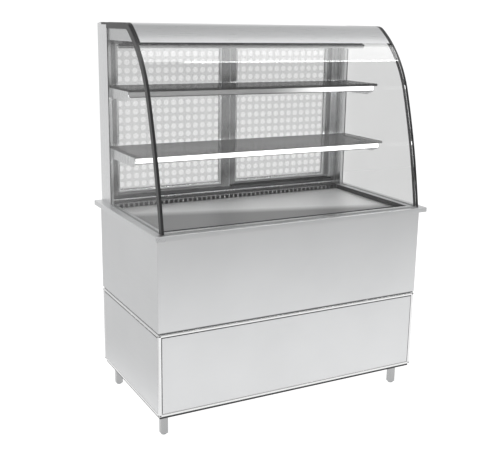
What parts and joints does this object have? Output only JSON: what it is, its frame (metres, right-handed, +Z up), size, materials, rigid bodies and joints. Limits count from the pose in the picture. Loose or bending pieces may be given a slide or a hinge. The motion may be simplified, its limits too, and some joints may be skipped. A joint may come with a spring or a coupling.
{
  "type": "refrigerated display case",
  "caption": "Free-standing refrigerated display case with a curved glass front, lit glass shelves, sliding rear doors and a satin steel cabinet.",
  "frame": {"origin": "floor point under the middle of the case", "axes": "+Z up, -Y towards the customer, +Y towards the staff side with the sliding doors"},
  "size_m": [1.26, 0.72, 1.6],
  "materials": {
    "satin_steel": "satin brushed",
    "polished_steel": "polished",
    "zinc_steel": "galvanised",
    "black_paint": "satin black",
    "dark_aluminium": "dark anodised",
    "light_aluminium": "satin anodised",
    "fin_aluminium": "bare",
    "clear_glass": "clear",
    "shelf_glass": "clear, tinted edge",
    "dotted_glass": "printed with pale dots",
    "lamp_diffuser": "opal",
    "counter_core": "raw board",
    "foam": "rigid foam",
    "copper": "bare copper",
    "motor_paint": "grey",
    "fan_plastic": "matte",
    "grey_plastic": "matte",
    "mount_rubber": "matte",
    "control_plastic": "fine texture",
    "switch_plastic": "gloss"
  },
  "bodies": {
    "case": {"base_ring": "dark_aluminium", "base_tray": "zinc_steel", "canopy": "satin_steel", "ceiling_lamp": "lamp_diffuser", "ceiling_panel": "dark_aluminium", "compressor": "black_paint", "compressor_mounts": "mount_rubber", "condenser": "fin_aluminium", "condenser_fan_motor": "motor_paint", "condenser_shroud": "zinc_steel", "control_housing": "control_plastic", "counter_board": "counter_core", "counter_top": "satin_steel", "display_deck": "satin_steel", "drain_pipe": "grey_plastic", "drip_tray": "zinc_steel", "edge_trim_left": "black_paint", "edge_trim_right": "black_paint", "electrical_box": "motor_paint", "evaporator_coil": "fin_aluminium", "evaporator_fan_motors": "motor_paint", "evaporator_fan_plate": "zinc_steel", "front_air_grille": "black_paint", "front_glass": "clear_glass", "head_rail": "dark_aluminium", "legs": "polished_steel", "lower_frame": "polished_steel", "lower_front_panel": "satin_steel", "lower_rear_grille": "satin_steel", "lower_side_panels": "satin_steel", "rear_air_grille": "satin_steel", "rear_posts": "light_aluminium", "refrigerant_pipes": "copper", "shelf_brackets": "light_aluminium", "shelf_lamps": "lamp_diffuser", "shelf_lower": "shelf_glass", "shelf_middle": "shelf_glass", "side_glass_left": "clear_glass", "side_glass_right": "clear_glass", "sill_track": "dark_aluminium", "upper_chassis": "zinc_steel", "upper_front_panel": "satin_steel", "upper_rear_panel": "satin_steel", "upper_side_panels": "satin_steel", "well_insulation": "foam", "well_liner": "zinc_steel"},
    "door_left": {"door_left_frame": "dark_aluminium", "door_left_pane": "dotted_glass"},
    "door_right": {"door_right_frame": "dark_aluminium", "door_right_pane": "dotted_glass"},
    "evaporator_fan_left": {"evaporator_fan_left": "fan_plastic"},
    "evaporator_fan_right": {"evaporator_fan_right": "fan_plastic"},
    "condenser_fan": {"condenser_fan": "fan_plastic"},
    "light_switch": {"light_switch": "switch_plastic"},
    "button_up": {"button_up": "switch_plastic"},
    "button_down": {"button_down": "switch_plastic"},
    "foot_front_left": {"foot_front_left": "grey_plastic"},
    "foot_front_right": {"foot_front_right": "grey_plastic"},
    "foot_rear_left": {"foot_rear_left": "grey_plastic"},
    "foot_rear_right": {"foot_rear_right": "grey_plastic"}
  },
  "joints": [
    {"name": "door_left_slide", "type": "slide", "parent": "case", "child": "door_left", "axis": [1, 0, 0], "range_m": [0, 0.575]},
    {"name": "door_right_slide", "type": "slide", "parent": "case", "child": "door_right", "axis": [-1, 0, 0], "range_m": [0, 0.575]},
    {"name": "evaporator_fan_left_spin", "type": "hinge", "parent": "case", "child": "evaporator_fan_left", "pos_m": [-0.23, 0.022, 0.675], "axis": [0, 1, 0], "continuous": true},
    {"name": "evaporator_fan_right_spin", "type": "hinge", "parent": "case", "child": "evaporator_fan_right", "pos_m": [0.23, 0.022, 0.675], "axis": [0, 1, 0], "continuous": true},
    {"name": "condenser_fan_spin", "type": "hinge", "parent": "case", "child": "condenser_fan", "pos_m": [0.12, 0.124, 0.25], "axis": [0, 1, 0], "continuous": true},
    {"name": "light_switch_rock", "type": "hinge", "parent": "case", "child": "light_switch", "pos_m": [0.49, 0.346, 0.771], "axis": [1, 0, 0], "range_deg": [0, 16]},
    {"name": "button_up_press", "type": "slide", "parent": "case", "child": "button_up", "axis": [0, -1, 0], "range_m": [0, 0.002], "stiffness_N_per_m": 400},
    {"name": "button_down_press", "type": "slide", "parent": "case", "child": "button_down", "axis": [0, -1, 0], "range_m": [0, 0.002], "stiffness_N_per_m": 400},
    {"name": "foot_front_left_turn", "type": "hinge", "parent": "case", "child": "foot_front_left", "pos_m": [-0.565, -0.261, 0.006], "axis": [0, 0, 1], "range_deg": [-720, 720]},
    {"name": "foot_front_right_turn", "type": "hinge", "parent": "case", "child": "foot_front_right", "pos_m": [0.565, -0.261, 0.006], "axis": [0, 0, 1], "range_deg": [-720, 720]},
    {"name": "foot_rear_left_turn", "type": "hinge", "parent": "case", "child": "foot_rear_left", "pos_m": [-0.565, 0.272, 0.006], "axis": [0, 0, 1], "range_deg": [-720, 720]},
    {"name": "foot_rear_right_turn", "type": "hinge", "parent": "case", "child": "foot_rear_right", "pos_m": [0.565, 0.272, 0.006], "axis": [0, 0, 1], "range_deg": [-720, 720]}
  ]
}
